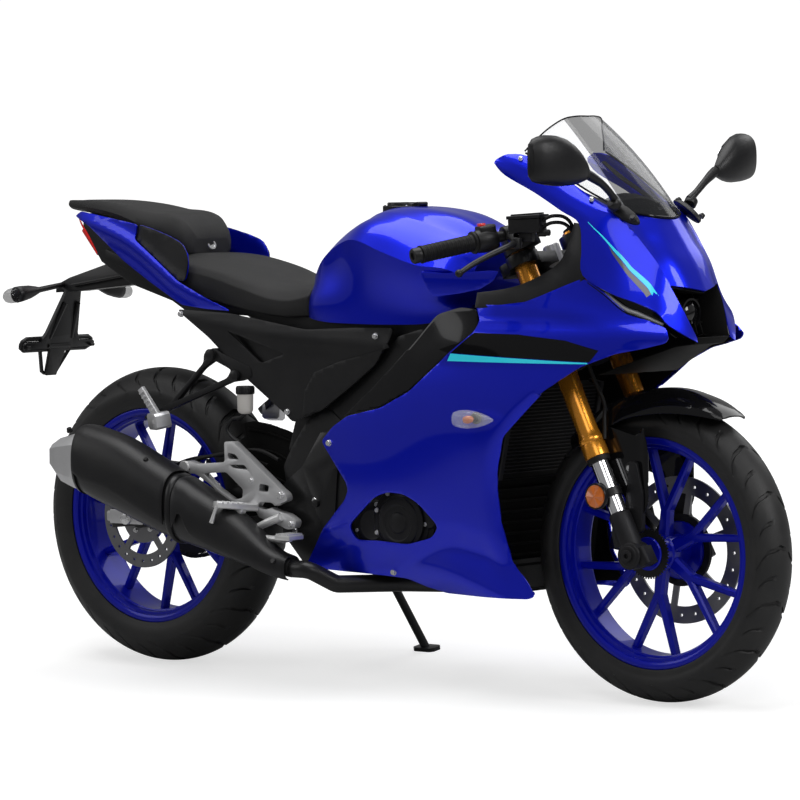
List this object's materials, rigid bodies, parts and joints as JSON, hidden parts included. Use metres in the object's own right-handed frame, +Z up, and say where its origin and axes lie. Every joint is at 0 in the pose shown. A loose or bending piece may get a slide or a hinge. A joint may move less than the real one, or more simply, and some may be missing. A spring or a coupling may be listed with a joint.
{
  "type": "sport motorcycle",
  "caption": "Faired lightweight sport motorcycle parked on its side stand, with steering, rolling wheels, folding stand and hinged filler cap.",
  "frame": {"origin": "on the ground midway between the axles, where the upright machine's centre plane meets it", "axes": "+X forward, +Y to the rider's left, +Z up; the machine leans 9 degrees to its left on its side stand"},
  "size_m": [1.9731, 0.7356, 1.1439],
  "materials": {
    "alloy": "satin",
    "black_gloss": "gloss black",
    "black_metal": "satin black paint",
    "black_plastic": "textured black",
    "blue_paint": "gloss blue paint",
    "gold": "gold anodised",
    "lamp_clear": "clear",
    "lamp_red": "clear red",
    "rubber": "matt",
    "screen": "tinted clear",
    "seat": "grained black vinyl",
    "steel": "brushed",
    "tyre": "matt",
    "wheel_blue": "gloss blue paint"
  },
  "bodies": {
    "chassis": {"belly_pan": "black_plastic", "chain": "steel", "cockpit_panels": "black_plastic", "cylinder": "alloy", "drive_sprocket": "steel", "engine_case": "black_metal", "exhaust_pipe": "steel", "fairing_left": "blue_paint", "fairing_right": "blue_paint", "foot_levers": "alloy", "footrest_brackets": "alloy", "frame": "black_metal", "front_indicators": "lamp_clear", "fuel_tank": "blue_paint", "gauge": "black_plastic", "headlamp": "lamp_clear", "mirrors": "black_plastic", "muffler": "black_metal", "nose_cowl": "blue_paint", "passenger_pegs": "black_metal", "pillion_seat": "seat", "plate_bracket": "black_plastic", "radiator": "black_metal", "rear_axle": "steel", "rear_caliper": "black_metal", "rear_indicators": "lamp_clear", "rear_reservoir": "black_plastic", "rear_shock": "black_metal", "rider_seat": "seat", "side_covers": "black_plastic", "subframe": "black_metal", "swingarm": "black_metal", "tail_lamp": "lamp_red", "tail_panels": "blue_paint", "tail_underside": "black_plastic", "windscreen": "screen"},
    "steering": {"triple_clamps": "black_metal", "fork_tubes": "gold", "fork_sliders": "black_metal", "front_axle": "steel", "handlebars": "black_metal", "grips": "rubber", "hand_controls": "black_metal", "front_fender": "black_gloss", "front_caliper": "black_metal"},
    "front_wheel": {"front_rim": "wheel_blue", "front_tyre": "tyre", "front_disc": "steel"},
    "rear_wheel": {"rear_rim": "wheel_blue", "rear_tyre": "tyre", "rear_disc": "steel", "rear_sprocket": "steel"},
    "side_stand": {"side_stand": "black_metal"},
    "fuel_lid": {"fuel_cap": "black_metal"}
  },
  "joints": [
    {"name": "steering", "type": "hinge", "parent": "chassis", "child": "steering", "pos_m": [0.4286, 0.10787, 0.68199], "axis": [-0.4305, 0.1412, 0.8915], "range_deg": [-28, 28]},
    {"name": "front_wheel_spin", "type": "hinge", "parent": "steering", "child": "front_wheel", "pos_m": [0.6625, 0.04629, 0.29318], "axis": [0, 0.9877, -0.1564], "continuous": true},
    {"name": "rear_wheel_spin", "type": "hinge", "parent": "chassis", "child": "rear_wheel", "pos_m": [-0.6625, 0.04911, 0.31096], "axis": [0, 0.9877, -0.1564], "continuous": true},
    {"name": "side_stand_fold", "type": "hinge", "parent": "chassis", "child": "side_stand", "pos_m": [-0.1625, 0.16047, 0.18306], "axis": [0, 0.9421, 0.3355], "range_deg": [0, 100]},
    {"name": "fuel_lid_hinge", "type": "hinge", "parent": "chassis", "child": "fuel_lid", "pos_m": [0.0505, 0.15288, 0.96619], "axis": [0, 0.9877, -0.1564], "range_deg": [0, 90]}
  ]
}
